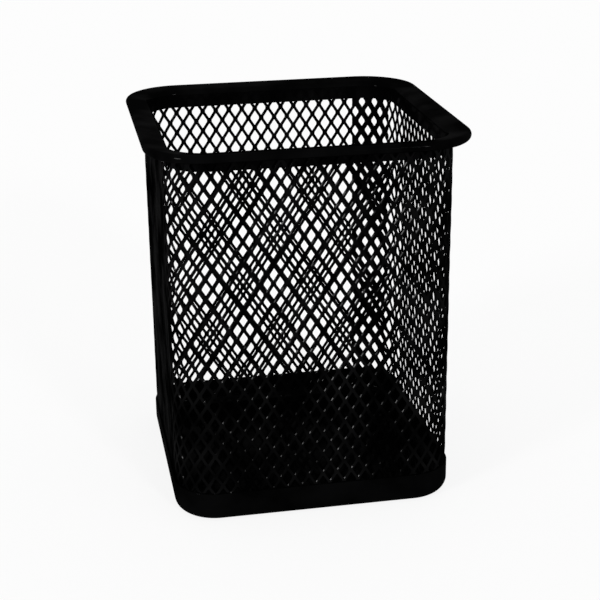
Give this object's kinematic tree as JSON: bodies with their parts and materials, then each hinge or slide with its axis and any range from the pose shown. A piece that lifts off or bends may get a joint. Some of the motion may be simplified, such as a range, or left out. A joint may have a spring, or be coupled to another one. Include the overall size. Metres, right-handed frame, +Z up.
{
  "type": "pen holder cup",
  "caption": "Square desk cup with rounded corners: expanded steel mesh walls, a pressed rim with a rolled lip, and a solid floor pan. Holds pens upright.",
  "frame": {"origin": "on the table under the middle of the cup, at the centre of the floor pan's underside", "axes": "+X to the right, +Y towards the back wall that carries the lapped seam, +Z up through the open top"},
  "size_m": [0.0842, 0.0842, 0.1015],
  "materials": {
    "mesh_paint": "satin black paint on expanded steel mesh",
    "rim_paint": "semi-gloss black paint on pressed steel",
    "pan_paint": "semi-gloss black paint on pressed steel",
    "weld_paint": "black paint over spot welds"
  },
  "bodies": {
    "root": {"mesh_sleeve": "mesh_paint", "top_rim": "rim_paint", "floor_pan": "pan_paint", "rim_welds": "weld_paint"}
  },
  "joints": []
}
